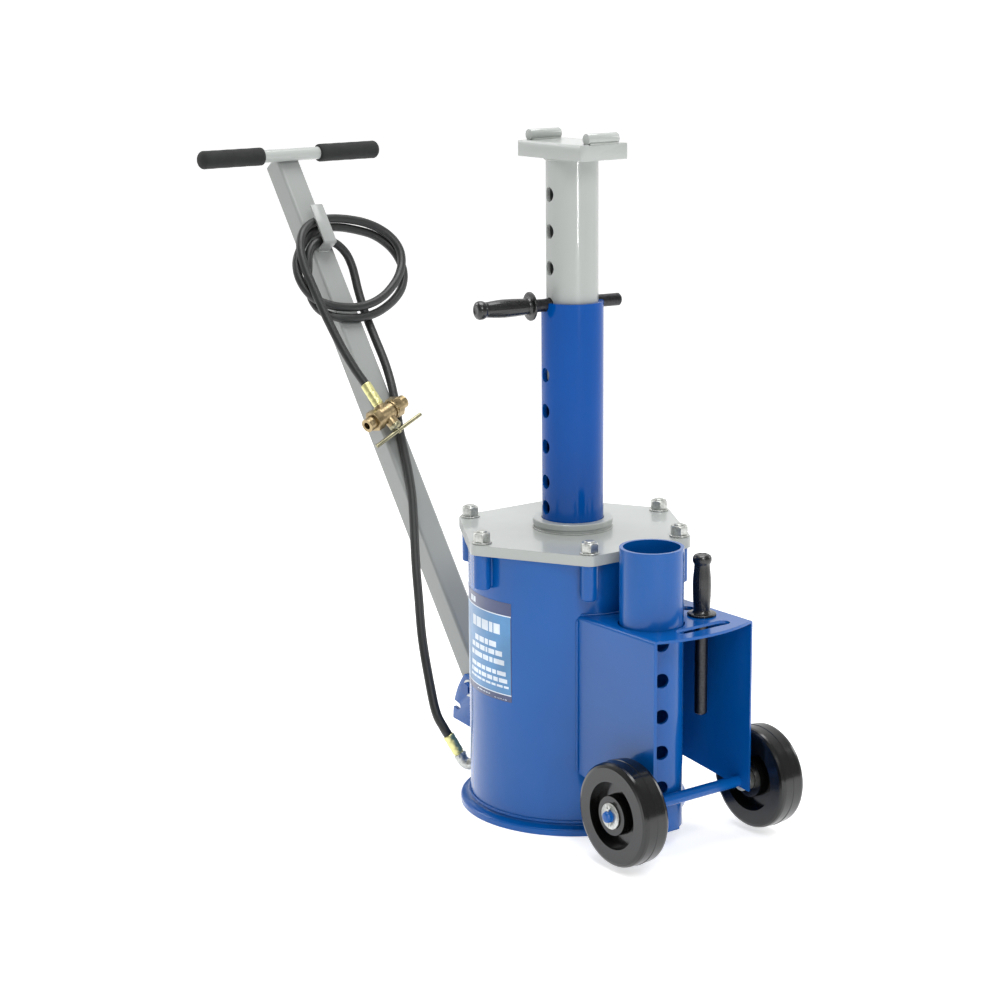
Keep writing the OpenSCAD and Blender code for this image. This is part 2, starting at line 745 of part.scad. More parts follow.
// Crimped brass end of a hose, along +Z from the fitting's nose
module hose_ferrule(l) {
    rotate_extrude() polygon([
        [0, 0], [9, 0], [9, 3], [10.5, 4.5], [10.5, 12], [9.6, 13], [9.6, 17], [10.5, 18],
        [10.5, 24], [9.6, 25], [9.6, 29], [10.5, 30], [10.5, l - 1], [9.8, l], [0, l]]);
}

module lower_ferrule() {
    color(brass) pointing(elbow_at + 20 * unit(elbow_dir), elbow_dir)
        hose_ferrule(ferrule_l - 0.5);
}

module hose_lower() {
    straight_to = ferrule_end + 14 * unit(elbow_dir);
    color(black) swept_hose(concat([ferrule_end, straight_to], lower_route));
}

module hose_upper() {
    color(black) swept_hose([for (p = upper_route) on_handle(p)]);
}

module hose_tail() {
    color(black) swept_hose([for (p = tail_route) on_handle(p)]);
}

// Two turns of hose that hang on the hook
module hose_coil() {
    color(black) swept_hose([for (p = coil_route) on_handle(p)], steps = [0]);
}

// ---- Air valve at the hose's end ----

// The valve's own directions: +X along its passage, +Z up the bar, -Y out of the face
module valve_frame() {
    handle_frame() translate([valve_at[0], -valve_at[2], valve_at[1]])
        rotate([0, -valve_tilt, 0]) children();
}

// Cast body: a barrel along the passage with two collars, a boss for the stem and one that
// faces the hose's ferrule
module valve_body() {
    half = 54;
    port_l = 24;
    ferrule_foot = on_handle(tail_ferrule_at);
    hose_end = on_handle(tail_route[len(tail_route) - 1]);
    color(bronze) {
        valve_frame() difference() {
            union() {
                translate([-half, 0, 0]) rotate([0, 90, 0]) cylinder(r = 13, h = 2 * half);
                translate([-20, 0, 0]) rotate([0, 90, 0]) cylinder(r = 16.5, h = 40);
                for (x = [-20, 16])
                    translate([x, 0, 0]) rotate([0, 90, 0]) cylinder(r = 18.5, h = 4);
                translate([0, 0, -26]) cylinder(r = 12, h = 26);
            }
            translate([-half - 1, 0, 0]) rotate([0, 90, 0]) cylinder(r = 7, h = port_l);
            translate([half + 1 - port_l, 0, 0]) rotate([0, 90, 0]) cylinder(r = 7, h = port_l);
            translate([0, 0, -27]) cylinder(r = 4.06, h = 20);
        }
        pointing(ferrule_foot, ferrule_foot - hose_end) cylinder(r = 12, h = 14);
    }
}

// Hexagonal union nuts round the barrel, one near each port
module valve_unions() {
    nut_w = 17;
    color(bronze) valve_frame() for (x = [-20 - nut_w, 20])
        translate([x, 0, 0]) rotate([0, 90, 0]) difference() {
            hex(37, nut_w);
            translate([0, 0, -1]) cylinder(r = 13, h = nut_w + 2);
        }
}

module valve_packing_nut() {
    color(bronze) valve_frame() translate([0, 0, -37]) difference() {
        rotate_extrude() polygon([[0, 0], [8, 0], [12, 4], [12.5, 5], [12.5, 11], [0, 11]]);
        translate([0, 0, -1]) cylinder(r = 4.06, h = 13);
    }
}

module valve_stem() {
    color(bronze) valve_frame() rotate([0, 0, lever_turn]) translate([0, 0, -47]) difference() {
        cylinder(r = 4, h = 37);
        translate([-10, 0, 6]) rotate([0, 90, 0]) cylinder(r = 3.2, h = 20);
    }
}

// Bar through the stem that turns the valve on and off
module valve_lever() {
    lever_l = 118;
    color(bronze) valve_frame() rotate([0, 0, lever_turn]) translate([-lever_l / 2, 0, -41])
        rotate([0, 90, 0]) rotate_extrude() polygon([
            [0, 0], [2.2, 0], [3.2, 1], [3.2, lever_l - 1], [2.2, lever_l], [0, lever_l]]);
}

module tail_ferrule() {
    last = tail_route[len(tail_route) - 1];
    color(brass) pointing(on_handle(tail_ferrule_at), on_handle(last) - on_handle(tail_ferrule_at))
        hose_ferrule(norm(last - tail_ferrule_at) - 0.6);
}

base_plate();
cylinder_tube();
bolt_bosses();
cylinder_gasket();
top_plate();
guide_collar();
guide_bushing();
ram_wiper();
top_bolts();
top_washers();
top_nuts();
piston_bumper();
inlet_elbow();
drain_plug();
rating_label();
carriage_channel();
tube_rest();
axle();
axle_spacers();
axle_washers();
cotter_pins();
handle_ears();
handle_stop();
pivot_bolt();
pivot_washers();
pivot_nut();
ram_tube();
ram_plug();
piston();
piston_seal();
wear_ring();
piston_bolts();
post_tube();
saddle_plate();
saddle_bars();
post_pin_rod();
post_pin_grip();
stored_pin_rod();
stored_pin_grip();
extension_tube();
wheel_left();
wheel_left_bush();
wheel_right();
wheel_right_bush();
handle_bar();
t_bar();
grip_left();
grip_right();
hose_hook();
lower_ferrule();
hose_lower();
hose_upper();
hose_coil();
hose_tail();
tail_ferrule();
valve_body();
valve_unions();
valve_packing_nut();
valve_stem();
valve_lever();
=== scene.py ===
"""Looks of the air-operated axle jack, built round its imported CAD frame. Metres, +Z up."""
import json
import math
import random

import bmesh
import bpy
from mathutils import Matrix, Vector

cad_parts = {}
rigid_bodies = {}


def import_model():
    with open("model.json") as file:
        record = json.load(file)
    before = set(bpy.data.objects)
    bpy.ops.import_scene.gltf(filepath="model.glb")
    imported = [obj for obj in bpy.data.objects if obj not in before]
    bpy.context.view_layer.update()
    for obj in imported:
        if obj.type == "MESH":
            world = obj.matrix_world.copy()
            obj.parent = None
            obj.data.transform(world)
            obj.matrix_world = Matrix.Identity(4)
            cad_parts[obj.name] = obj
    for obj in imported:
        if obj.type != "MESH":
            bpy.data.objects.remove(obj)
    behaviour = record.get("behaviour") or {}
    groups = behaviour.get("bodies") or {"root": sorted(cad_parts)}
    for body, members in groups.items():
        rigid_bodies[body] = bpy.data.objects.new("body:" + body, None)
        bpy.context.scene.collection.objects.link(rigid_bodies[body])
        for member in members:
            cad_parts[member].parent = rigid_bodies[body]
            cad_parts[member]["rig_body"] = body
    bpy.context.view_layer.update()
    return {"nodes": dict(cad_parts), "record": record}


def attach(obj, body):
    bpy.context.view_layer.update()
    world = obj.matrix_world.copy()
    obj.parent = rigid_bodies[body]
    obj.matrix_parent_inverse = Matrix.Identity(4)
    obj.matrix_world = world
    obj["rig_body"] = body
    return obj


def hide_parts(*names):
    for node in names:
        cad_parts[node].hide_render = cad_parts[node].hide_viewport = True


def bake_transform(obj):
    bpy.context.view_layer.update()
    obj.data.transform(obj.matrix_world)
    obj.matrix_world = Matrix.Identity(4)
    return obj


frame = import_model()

NODES = frame["nodes"]
MM = 0.001

# Sizes repeated from part.scad, in millimetres, with angles in radians
CYL_R = 184
BODY_H = 500
BASE_T = 20
TOP_Z = 482
BOSS_HALF = 9
BOSS_FOOT_Z = 423
COLLAR_FOOT_R = 68
SHELF_Z = 389
CARRIAGE_HALF = 107.5
CARRIAGE_FOOT_Z = 111
AXLE_Y = -325
AXLE_Z = 99
AXLE_R = 10
POST_R = 45
POST_WELD_Z = 1141
SADDLE_Z = 1169
SADDLE_BAR_Y = 78.5
SADDLE_BAR_WELD = 31
PIVOT = Vector((0, 270, 143))
LEAN = math.radians(36)
EAR_FACES = (25.5, 35.5)
EAR_WELD_Z = (62, 166)
BAR_HALF = 25
T_BAR_S = 1146
T_BAR_R = 12.7
T_BAR_N = BAR_HALF + T_BAR_R
GRIP_FROM = 65
GRIP_END = 209
GRIP_R = 18
HOOK_S = 931
HOSE_R = 8.5
FERRULE_FROM = 20
FERRULE_L = 40
LEVER_L = 118
PIN_GRIP_L = 106
PIN_TURN = math.radians(-9)
POST_PIN_AT = Vector((-80, 0, 894))
STORED_PIN_AT = Vector((60, -275, SHELF_Z))


def on_handle(x, s, n):
    """A point in millimetres, from a place across the handle, up its bar and out of its face."""
    return PIVOT + Vector((x, s * math.sin(LEAN) - n * math.cos(LEAN),
                           s * math.cos(LEAN) + n * math.sin(LEAN)))


# ---- Camera ----

CAMERA_AT = Vector((-2.4787, -3.1562, 1.4687))
CAMERA_RIGHT = Vector((0.8044, -0.5940, -0.0087)).normalized()
CAMERA_UP = Vector((0.1397, 0.1749, 0.9746))
SENSOR_WIDTH = 36
FOCAL_LENGTH = 84.74


def add_camera():
    back = CAMERA_RIGHT.cross(CAMERA_UP).normalized()
    up = back.cross(CAMERA_RIGHT).normalized()
    turn = Matrix((CAMERA_RIGHT, up, back)).transposed()
    data = bpy.data.cameras.new("camera")
    data.sensor_width = SENSOR_WIDTH
    data.lens = FOCAL_LENGTH
    data.clip_end = 60
    camera = bpy.data.objects.new("camera", data)
    camera.matrix_world = Matrix.Translation(CAMERA_AT) @ turn.to_4x4()
    bpy.context.scene.collection.objects.link(camera)
    bpy.context.scene.camera = camera


add_camera()


# ---- Materials ----

class Nodes:
    """Short names for building a node tree."""

    def __init__(self, material):
        material.use_nodes = True
        self.tree = material.node_tree
        self.tree.nodes.clear()
        self.out = self.tree.nodes.new("ShaderNodeOutputMaterial")
        self.shader = self.tree.nodes.new("ShaderNodeBsdfPrincipled")
        self.link(self.shader.outputs[0], self.out.inputs["Surface"])
        self.place = self.tree.nodes.new("ShaderNodeTexCoord").outputs["Object"]

    def link(self, a, b):
        self.tree.links.new(a, b)

    def noise(self, scale, detail=3.0, rough=0.5):
        node = self.tree.nodes.new("ShaderNodeTexNoise")
        self.link(self.place, node.inputs["Vector"])
        node.inputs["Scale"].default_value = scale
        node.inputs["Detail"].default_value = detail
        node.inputs["Roughness"].default_value = rough
        return node.outputs["Fac"]

    def cells(self, scale):
        node = self.tree.nodes.new("ShaderNodeTexVoronoi")
        self.link(self.place, node.inputs["Vector"])
        node.inputs["Scale"].default_value = scale
        return node.outputs["Distance"]

    def remap(self, value, low, high, from_low=0.0, from_high=1.0):
        """The value, moved from its own range to the one from low to high."""
        node = self.tree.nodes.new("ShaderNodeMapRange")
        self.link(value, node.inputs["Value"])
        for name, v in (("From Min", from_low), ("From Max", from_high),
                        ("To Min", low), ("To Max", high)):
            node.inputs[name].default_value = v
        return node.outputs[0]

    def mix(self, fac, a, b):
        node = self.tree.nodes.new("ShaderNodeMix")
        node.data_type = "RGBA"
        self.link(fac, node.inputs["Factor"])
        for socket, v in ((node.inputs[6], a), (node.inputs[7], b)):
            if isinstance(v, tuple):
                socket.default_value = (*v, 1)
            else:
                self.link(v, socket)
        return node.outputs[2]

    def edges(self, radius):
        """Normals as if every hard edge were rounded to a radius in metres."""
        node = self.tree.nodes.new("ShaderNodeBevel")
        node.samples = 4
        node.inputs["Radius"].default_value = radius
        return node.outputs[0]

    def bump(self, height, strength, distance, normal=None):
        node = self.tree.nodes.new("ShaderNodeBump")
        self.link(height, node.inputs["Height"])
        node.inputs["Strength"].default_value = strength
        node.inputs["Distance"].default_value = distance
        if normal:
            self.link(normal, node.inputs["Normal"])
        return node.outputs[0]

    def set(self, **values):
        """Sets the shader's inputs, named with underscores, to numbers, colours or sockets."""
        for name, v in values.items():
            socket = self.shader.inputs[name.replace("_", " ")]
            if isinstance(v, (int, float)):
                socket.default_value = v
            elif isinstance(v, tuple):
                socket.default_value = (*v, 1)
            else:
                self.link(v, socket)


def srgb(r, g, b):
    """Linear colour from 0-255 screen values."""
    return tuple((v / 255 / 12.92) if v <= 10 else ((v / 255 + 0.055) / 1.055) ** 2.4
                 for v in (r, g, b))


def scaled(colour, by):
    """A colour made darker or lighter, never past white."""
    return tuple(min(1.0, c * by) for c in colour)


def paint(name, colour, rough=0.22, coat=0.7, vary=0.07, flow=0.05, gloss=0.4):
    """Sprayed enamel: a faint orange peel, slow shifts of tone, and dust in the low gloss."""
    material = bpy.data.materials.new(name)
    n = Nodes(material)
    tone = n.remap(n.noise(5, 2), 0, 1, 0.3, 0.7)
    speck = n.remap(n.noise(900, 2), 0, 0.3, 0.64, 0.8)
    base = n.mix(tone, scaled(colour, 1 - vary), scaled(colour, 1 + vary))
    base = n.mix(speck, base, scaled(colour, 0.86))
    peel = n.bump(n.noise(160, 2), flow, 0.0006, n.edges(0.0009))
    n.set(Base_Color=base, Normal=n.bump(n.noise(14, 2), 0.05, 0.002, peel),
          Roughness=n.remap(n.noise(30, 2), rough - 0.03, rough + 0.05),
          Coat_Weight=coat, Coat_Roughness=0.05, Coat_IOR=1.5, Specular_IOR_Level=gloss)
    return material


def plated(name, colour, rough=0.3, mottle=0.28, marks=0.12):
    """Zinc-plated or machined metal: crystalline shifts of tone and fine turning marks."""
    material = bpy.data.materials.new(name)
    n = Nodes(material)
    spangle = n.remap(n.cells(240), 0, 1, 0.1, 0.7)
    base = n.mix(spangle, scaled(colour, 1 - mottle), scaled(colour, 1 + mottle * 0.4))
    stain = n.remap(n.noise(45, 5), 0, 0.4, 0.5, 0.75)
    base = n.mix(stain, base, scaled(colour, 1 - mottle * 1.7))
    n.set(Base_Color=base, Metallic=1.0,
          Roughness=n.remap(n.noise(120, 4), rough - 0.08, rough + 0.16),
          Normal=n.bump(n.noise(900, 2), marks, 0.0003, n.edges(0.0005)))
    return material


def cast_metal(name, colour, rough):
    """Cast or forged brass: a sandy skin with darker pits and rubbed high spots."""
    material = bpy.data.materials.new(name)
    n = Nodes(material)
    tone = n.remap(n.noise(90, 6, 0.6), 0, 1, 0.3, 0.72)
    base = n.mix(tone, scaled(colour, 0.55), scaled(colour, 1.25))
    skin = n.bump(n.noise(700, 4, 0.6), 0.35, 0.0006)
    n.set(Base_Color=base, Metallic=1.0,
          Roughness=n.remap(n.noise(150, 4), rough - 0.12, rough + 0.2),
          Normal=n.bump(n.noise(160, 3), 0.25, 0.0012, skin))
    return material


def moulded(name, colour, rough=0.28, coat=0.0):
    """Moulded plastic or hard rubber: flow marks, light scuffs and a fine skin."""
    material = bpy.data.materials.new(name)
    n = Nodes(material)
    tone = n.remap(n.noise(18, 5), 0, 1, 0.3, 0.7)
    base = n.mix(tone, scaled(colour, 0.85), scaled(colour, 1.2))
    scuff = n.remap(n.noise(60, 8, 0.7), 0, 0.5, 0.6, 0.8)
    base = n.mix(scuff, base, scaled(colour, 1.8))
    n.set(Base_Color=base, Roughness=n.remap(n.noise(75, 6), rough - 0.07, rough + 0.15),
          Normal=n.bump(n.noise(900, 3), 0.08, 0.0004), Coat_Weight=coat, Coat_Roughness=0.1)
    return material


def foam(name, colour):
    """Closed-cell foam: tight cells, darker in their hollows as painted shade, and a soft dusty
    bloom.
    """
    material = bpy.data.materials.new(name)
    n = Nodes(material)
    # Darker at the middle of each cell, where the bump sinks it: painted shade in the hollows
    painted_pore_shade = n.remap(n.cells(850), 0, 1, 0.05, 0.5)
    base = n.mix(painted_pore_shade, scaled(colour, 0.45), scaled(colour, 1.25))
    base = n.mix(n.remap(n.noise(30, 5), 0, 0.5, 0.45, 0.75), base, scaled(colour, 1.7))
    n.set(Base_Color=base, Roughness=n.remap(n.noise(90, 4), 0.78, 0.95),
          Normal=n.bump(n.cells(850), 0.55, 0.0007), Sheen_Weight=0.04, Sheen_Roughness=0.6)
    return material


def hose_rubber(name, colour):
    """Smooth extruded rubber cover with faint wrap marks and handling dust."""
    material = bpy.data.materials.new(name)
    n = Nodes(material)
    tone = n.remap(n.noise(25, 6, 0.6), 0, 1, 0.35, 0.7)
    base = n.mix(tone, scaled(colour, 0.8), scaled(colour, 1.3))
    dust = n.remap(n.noise(160, 6, 0.7), 0, 0.5, 0.6, 0.85)
    base = n.mix(dust, base, scaled(colour, 2.2))
    wrap = n.bump(n.noise(260, 2), 0.12, 0.0006)
    n.set(Base_Color=base, Roughness=n.remap(n.noise(70, 5), 0.36, 0.56),
          Normal=n.bump(n.noise(900, 3), 0.1, 0.0003, wrap))
    return material


# Colours as they look on a screen, 0-255
BLUE = paint("blue_enamel", srgb(2, 80, 153), rough=0.2, coat=0.22, vary=0.05, gloss=0.25)
RAM_BLUE = paint("ram_enamel", srgb(0, 70, 146), rough=0.14, coat=0.1, vary=0.06, gloss=0.14)
GREY = paint("grey_enamel", srgb(160, 164, 161), rough=0.3, coat=0.4, vary=0.02)
# The handle's grey is the grey enamel made darker, as painted shade on the handle bar and its hook
SHADED_HANDLE_GREY = paint("handle_enamel_painted_shade", srgb(140, 143, 141), rough=0.32, coat=0.35, vary=0.025)
WELD_BLUE = paint("weld_blue", srgb(1, 76, 148), rough=0.22, coat=0.3, flow=0.2, gloss=0.3)
WELD_GREY = paint("weld_grey", srgb(150, 154, 150), rough=0.3, vary=0.04, flow=0.2)
ZINC = plated("zinc_plate", srgb(188, 190, 186), rough=0.38, mottle=0.2)
OXIDE = plated("black_oxide", srgb(62, 62, 64), rough=0.34)
BRONZE = cast_metal("valve_casting", srgb(162, 144, 110), rough=0.3)
DICHROMATE = plated("dichromate_steel", srgb(150, 146, 120), rough=0.32, mottle=0.3)
BEARING = plated("bearing_bronze", srgb(190, 150, 95), rough=0.36)
BRASS = plated("bright_brass", srgb(214, 210, 150), rough=0.36, mottle=0.05, marks=0.015)
ALUMINIUM = plated("cast_aluminium", srgb(190, 192, 194), rough=0.42)
WHEEL = moulded("wheel_resin", srgb(10, 11, 10), rough=0.14, coat=0.1)
GRIP = moulded("grip_vinyl", srgb(14, 15, 15), rough=0.24, coat=0.25)
SEAL = moulded("seal_rubber", srgb(30, 30, 31), rough=0.55)
NYLON = moulded("nylon_bush", srgb(205, 200, 188), rough=0.45)
FOAM = foam("handle_foam", srgb(15, 17, 16))
HOSE = hose_rubber("hose_cover", srgb(25, 27, 26))
FILM = moulded("label_film", srgb(44, 58, 100), rough=0.3, coat=0.3)
FIELD = moulded("label_field", srgb(60, 122, 172), rough=0.32, coat=0.4)
PRINT = moulded("label_print", srgb(204, 214, 224), rough=0.35, coat=0.3)

LOOKS = {
    "blue_paint": BLUE, "grey_paint": GREY, "zinc_steel": ZINC, "dark_steel": OXIDE,
    "seal_rubber": SEAL, "bronze": BEARING, "valve_bronze": BRONZE, "ferrule_brass": BRASS,
    "cast_aluminium": ALUMINIUM, "guide_plastic": NYLON, "label_film": FILM,
    "wheel_plastic": WHEEL, "grip_plastic": GRIP, "grip_foam": FOAM, "hose_rubber": HOSE,
}
SLOT_OF = {p["node"]: p["material_slot"] for p in frame["record"]["subparts"]}


def give_material(obj, material):
    obj.data.materials.clear()
    obj.data.materials.append(material)


for node_name, node in NODES.items():
    give_material(node, LOOKS[SLOT_OF[node_name]])
# The handle bar takes the darker grey: painted shade
give_material(NODES["handle_bar"], SHADED_HANDLE_GREY)
give_material(NODES["ram_tube"], RAM_BLUE)
give_material(NODES["pivot_bolt"], WELD_BLUE)
give_material(NODES["valve_stem"], DICHROMATE)


# ---- Mesh helpers ----

def add_mesh(name, bm, material, body, smooth=40):
    """Finishes a bmesh as a piece that rides on a body, if one is given. Edges sharper than
    smooth degrees stay crisp."""
    data = bpy.data.meshes.new(name)
    bmesh.ops.recalc_face_normals(bm, faces=bm.faces)
    for face in bm.faces:
        face.smooth = True
    for edge in bm.edges:
        if len(edge.link_faces) == 2 and edge.calc_face_angle(0) > math.radians(smooth):
            edge.smooth = False
    bm.to_mesh(data)
    bm.free()
    obj = bpy.data.objects.new(name, data)
    bpy.context.scene.collection.objects.link(obj)
    give_material(obj, material)
    if body:
        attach(obj, body)
    return obj


def catmull_rom(a, b, c, d, t):
    """The point at t, from 0 to 1, of the stretch from b to c, between the neighbours a and d."""
    return 0.5 * (2 * b + (c - a) * t + (2 * a - 5 * b + 4 * c - d) * t * t
                  + (3 * b - a - 3 * c + d) * t ** 3)


def spline(points, step):
    """Evenly spaced points, about step apart, along a smooth curve through the given ones."""
    fine_steps = 12
    fine = []
    for i in range(len(points) - 1):
        a, b = points[max(i - 1, 0)], points[i]
        c, d = points[i + 1], points[min(i + 2, len(points) - 1)]
        fine += [catmull_rom(a, b, c, d, k / fine_steps) for k in range(fine_steps)]
    fine.append(points[-1])
    lengths = [0.0]
    for a, b in zip(fine, fine[1:]):
        lengths.append(lengths[-1] + (b - a).length)
    count = max(2, round(lengths[-1] / step))
    even = []
    k = 0
    for i in range(count + 1):
        want = lengths[-1] * i / count
        while k < len(fine) - 2 and lengths[k + 1] < want:
            k += 1
        span = max(lengths[k + 1] - lengths[k], 1e-9)
        even.append(fine[k].lerp(fine[k + 1], (want - lengths[k]) / span))
    return even


def sweep(bm, path, radius, sides=16, closed=False):
    """Adds a round tube along a path, in metres. radius is a number or a function of the
    point's index and the angle."""
    count = len(path)
    rings = []
    normal = None
    for i in range(count):
        before = path[i - 1] if (i or closed) else path[i]
        after = path[(i + 1) % count] if (i < count - 1 or closed) else path[i]
        tangent = (after - before).normalized()
        if normal is None:
            guess = Vector((0, 0, 1)) if abs(tangent.z) < 0.9 else Vector((1, 0, 0))
            normal = tangent.cross(guess).normalized()
        normal = (normal - tangent * normal.dot(tangent)).normalized()
        other = tangent.cross(normal)
        ring = []
        for k in range(sides):
            a = 2 * math.pi * k / sides
            r = radius(i, a) if callable(radius) else radius
            ring.append(bm.verts.new(path[i] + r * (math.cos(a) * normal + math.sin(a) * other)))
        rings.append(ring)
    last = count if closed else count - 1
    for i in range(last):
        one, two = rings[i], rings[(i + 1) % count]
        for k in range(sides):
            j = (k + 1) % sides
            bm.faces.new((one[k], one[j], two[j], two[k]))
    if not closed:
        bm.faces.new(list(reversed(rings[0])))
        bm.faces.new(rings[-1])


def standing(at, direction):
    """The matrix that stands +Z along a direction, at a point in millimetres."""
    return Matrix.Translation(at * MM) @ direction.to_track_quat("Z", "Y").to_matrix().to_4x4()


def lathe(bm, profile, sides, place, wobble=None):
    """Turns a profile of (radius, height) round +Z, then moves it by the matrix place. All is in
    metres. wobble(height, angle) is added to the radius."""
    rings = []
    for r, z in profile:
        if r < 1e-7:
            rings.append([bm.verts.new(place @ Vector((0, 0, z)))])
            continue
        ring = []
        for k in range(sides):
            a = 2 * math.pi * k / sides
            rr = r + (wobble(z, a) if wobble else 0)
            ring.append(bm.verts.new(place @ Vector((rr * math.cos(a), rr * math.sin(a), z))))
        rings.append(ring)
    for one, two in zip(rings, rings[1:]):
        for k in range(sides):
            j = (k + 1) % sides
            if len(one) == 1 and len(two) == 1:
                continue
            if len(one) == 1:
                bm.faces.new((one[0], two[j], two[k]))
            elif len(two) == 1:
                bm.faces.new((one[k], one[j], two[0]))
            else:
                bm.faces.new((one[k], one[j], two[j], two[k]))


def rounded_profile(points, radius):
    """Rounds the inner corners of a (radius, height) profile in millimetres, and returns metres."""
    steps = 3
    out = []
    for i, p in enumerate(points):
        here = Vector(p)
        if i in (0, len(points) - 1):
            out.append(here)
            continue
        a, b = Vector(points[i - 1]) - here, Vector(points[i + 1]) - here
        cut = min(radius, a.length * 0.45, b.length * 0.45)
        p0, p2 = here + a.normalized() * cut, here + b.normalized() * cut
        for k in range(steps + 1):
            t = k / steps
            out.append(p0 * (1 - t) ** 2 + here * 2 * t * (1 - t) + p2 * t * t)
    return [(v.x * MM, v.y * MM) for v in out]


def softened(node_name, width, segments=2, material=None):
    """Shows a copy of a CAD node, with its hard edges rounded, in its place."""
    node = NODES[node_name]
    bm = bmesh.new()
    bm.from_mesh(node.data)
    bmesh.ops.remove_doubles(bm, verts=bm.verts, dist=2e-6)
    bmesh.ops.dissolve_limit(bm, angle_limit=math.radians(0.4), verts=bm.verts, edges=bm.edges)
    data = bpy.data.meshes.new(node_name + "_soft")
    for face in bm.faces:
        face.smooth = True
    bm.to_mesh(data)
    bm.free()
    obj = bpy.data.objects.new(node_name + "_soft", data)
    bpy.context.scene.collection.objects.link(obj)
    bevel = obj.modifiers.new("bevel", "BEVEL")
    bevel.width = width * MM
    bevel.segments = segments
    bevel.limit_method = "ANGLE"
    bevel.angle_limit = math.radians(32)
    bevel.harden_normals = True
    bevel.use_clamp_overlap = True
    bpy.context.view_layer.update()
    done = bpy.data.meshes.new_from_object(obj.evaluated_get(bpy.context.evaluated_depsgraph_get()))
    obj.modifiers.clear()
    obj.data = done
    give_material(obj, material or LOOKS[SLOT_OF[node_name]])
    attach(obj, node["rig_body"])
    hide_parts(node_name)


RIPPLE = 1.1    # distance in millimetres between the points along a weld


def bead(name, routes, radius, body, grey=False, closed=False, seed=1):
    """A run of weld along each route in millimetres, with the ripple that the torch leaves."""
    rng = random.Random(seed)
    bm = bmesh.new()
    for route in routes:
        path = [p * MM for p in route]
        if not closed:
            path = spline(path, RIPPLE * MM)
        phase = rng.random() * 6

        def ripple(i, a, phase=phase, count=len(path)):
            end = 1 if closed else min(1, 0.25 + 0.25 * min(i, count - 1 - i))
            wave = 0.13 * math.sin(i * 1.9 + phase) + 0.08 * math.sin(i * 0.43 + phase * 2)
            return radius * MM * (1 + wave) * end

        sweep(bm, path, ripple, sides=8, closed=closed)
    add_mesh(name, bm, WELD_GREY if grey else WELD_BLUE, body,
             smooth=75)


# ---- Hose: from the cylinder's elbow, up the handle, round the hook and down to the valve ----

ELBOW_AZIMUTH = math.radians(122)
ELBOW_DIR = Vector((-0.33, 0.41, 0.85)).normalized()
ELBOW_OUT = CYL_R + 26
ELBOW_Z = 38
ELBOW_AT = Vector((ELBOW_OUT * math.cos(ELBOW_AZIMUTH), ELBOW_OUT * math.sin(ELBOW_AZIMUTH),
                   ELBOW_Z))
FERRULE_END = ELBOW_AT + ELBOW_DIR * (FERRULE_FROM + FERRULE_L)
# In the jack's own directions; the routes after it are in the handle's
LOWER_ROUTE = [
    (-141, 226, 128), (-134, 256, 178), (-117, 302, 247), (-92, 348, 309)
]
UPPER_ROUTE = [
    (-67, 256, 34), (-26, 370, 34), (-9, 434, 34), (5, 510, 34), (26, 600, 33), (38, 665, 27),
    (43, 730, 19.5), (45, 780, 16), (47, 815, 16), (50, 845, 16.5), (53, 870, 18),
    (53, 894, 22), (46, 919, 28), (27, 939, 34.5), (1, 946.5, 39), (-25, 939.5, 39.5)
]
# Two turns: left and down behind, round the right, over the hook, and again in front
COIL_ROUTE = [
    (-44, 920, 37), (-53, 895, 32), (-59, 872, 25), (-62, 850, 19.5), (-62.5, 829, 17.5),
    (-58, 808, 19.5), (-48, 791, 25), (-32, 779, 31), (-11, 773, 34), (15, 771, 34),
    (48, 775, 34), (78, 785, 34), (110, 802, 33), (135, 822, 32.5), (151, 844, 32.5),
    (159, 865, 32.5), (160.5, 884, 32.5), (158, 902, 32.5), (151.5, 919.5, 32.3),
    (141.8, 933.3, 32.4), (129.5, 945.5, 32.7), (115, 955, 33), (98, 962, 33), (79, 968, 33.5),
    (59, 973, 34), (38, 976, 34), (16, 976, 34), (-6, 972, 34), (-28, 962, 34), (-47, 944, 33.5),
    (-64, 925, 33.5), (-76, 906, 33.5), (-82, 887, 33.5), (-84, 869, 34), (-82, 851, 34.5),
    (-76, 834, 35), (-66, 819, 36.5), (-51, 806.5, 39.5), (-30, 797, 41.5), (-7, 792, 42.5),
    (16, 790, 43.5), (37, 792, 45), (58, 797, 46.5), (83, 808, 48), (108, 825, 49.5),
    (128, 843, 50), (143, 862, 50), (152.5, 881, 50), (157, 901, 50), (155, 920, 49.5),
    (147.5, 937, 49), (135, 952, 48.5), (118, 965, 48), (98, 975, 47.5), (77, 982, 46.5),
    (54, 987, 46), (30, 989.5, 46), (6, 988.5, 46), (-17, 982.5, 47), (-38, 970.5, 49.5)
]
TAIL_ROUTE = [
    (-54, 954, 51), (-64.5, 935, 51), (-71, 915, 51.5), (-74, 894, 52), (-75, 872, 52),
    (-74.5, 850, 52.5), (-73.5, 823, 53), (-72, 798, 53), (-70, 768, 53), (-64, 710, 54),
    (-55.5, 660, 55.5), (-44.5, 618, 57)
]
TAIL_FERRULE_AT = (-34.9, 567.3, 59.9)


def build_hose():
    """One smooth hose in place of the four plain lengths. Returns it with its centreline."""
    points = [FERRULE_END - ELBOW_DIR * 4, FERRULE_END, FERRULE_END + ELBOW_DIR * 14]
    points += [Vector(p) for p in LOWER_ROUTE]
    points += [on_handle(*p) for p in UPPER_ROUTE]
    points += [on_handle(*p) for p in COIL_ROUTE]
    points += [on_handle(*p) for p in TAIL_ROUTE]
    path = spline([p * MM for p in points], 0.006)
    bm = bmesh.new()
    sweep(bm, path, HOSE_R * MM, sides=28)
    hose = add_mesh("air_hose", bm, HOSE, None, smooth=60)
    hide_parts("hose_lower", "hose_upper", "hose_coil", "hose_tail")
    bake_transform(hose)
    return hose, path


HOSE_PIECE, HOSE_PATH = build_hose()


# ---- Rounded edges on parts that are crisp in the frame ----

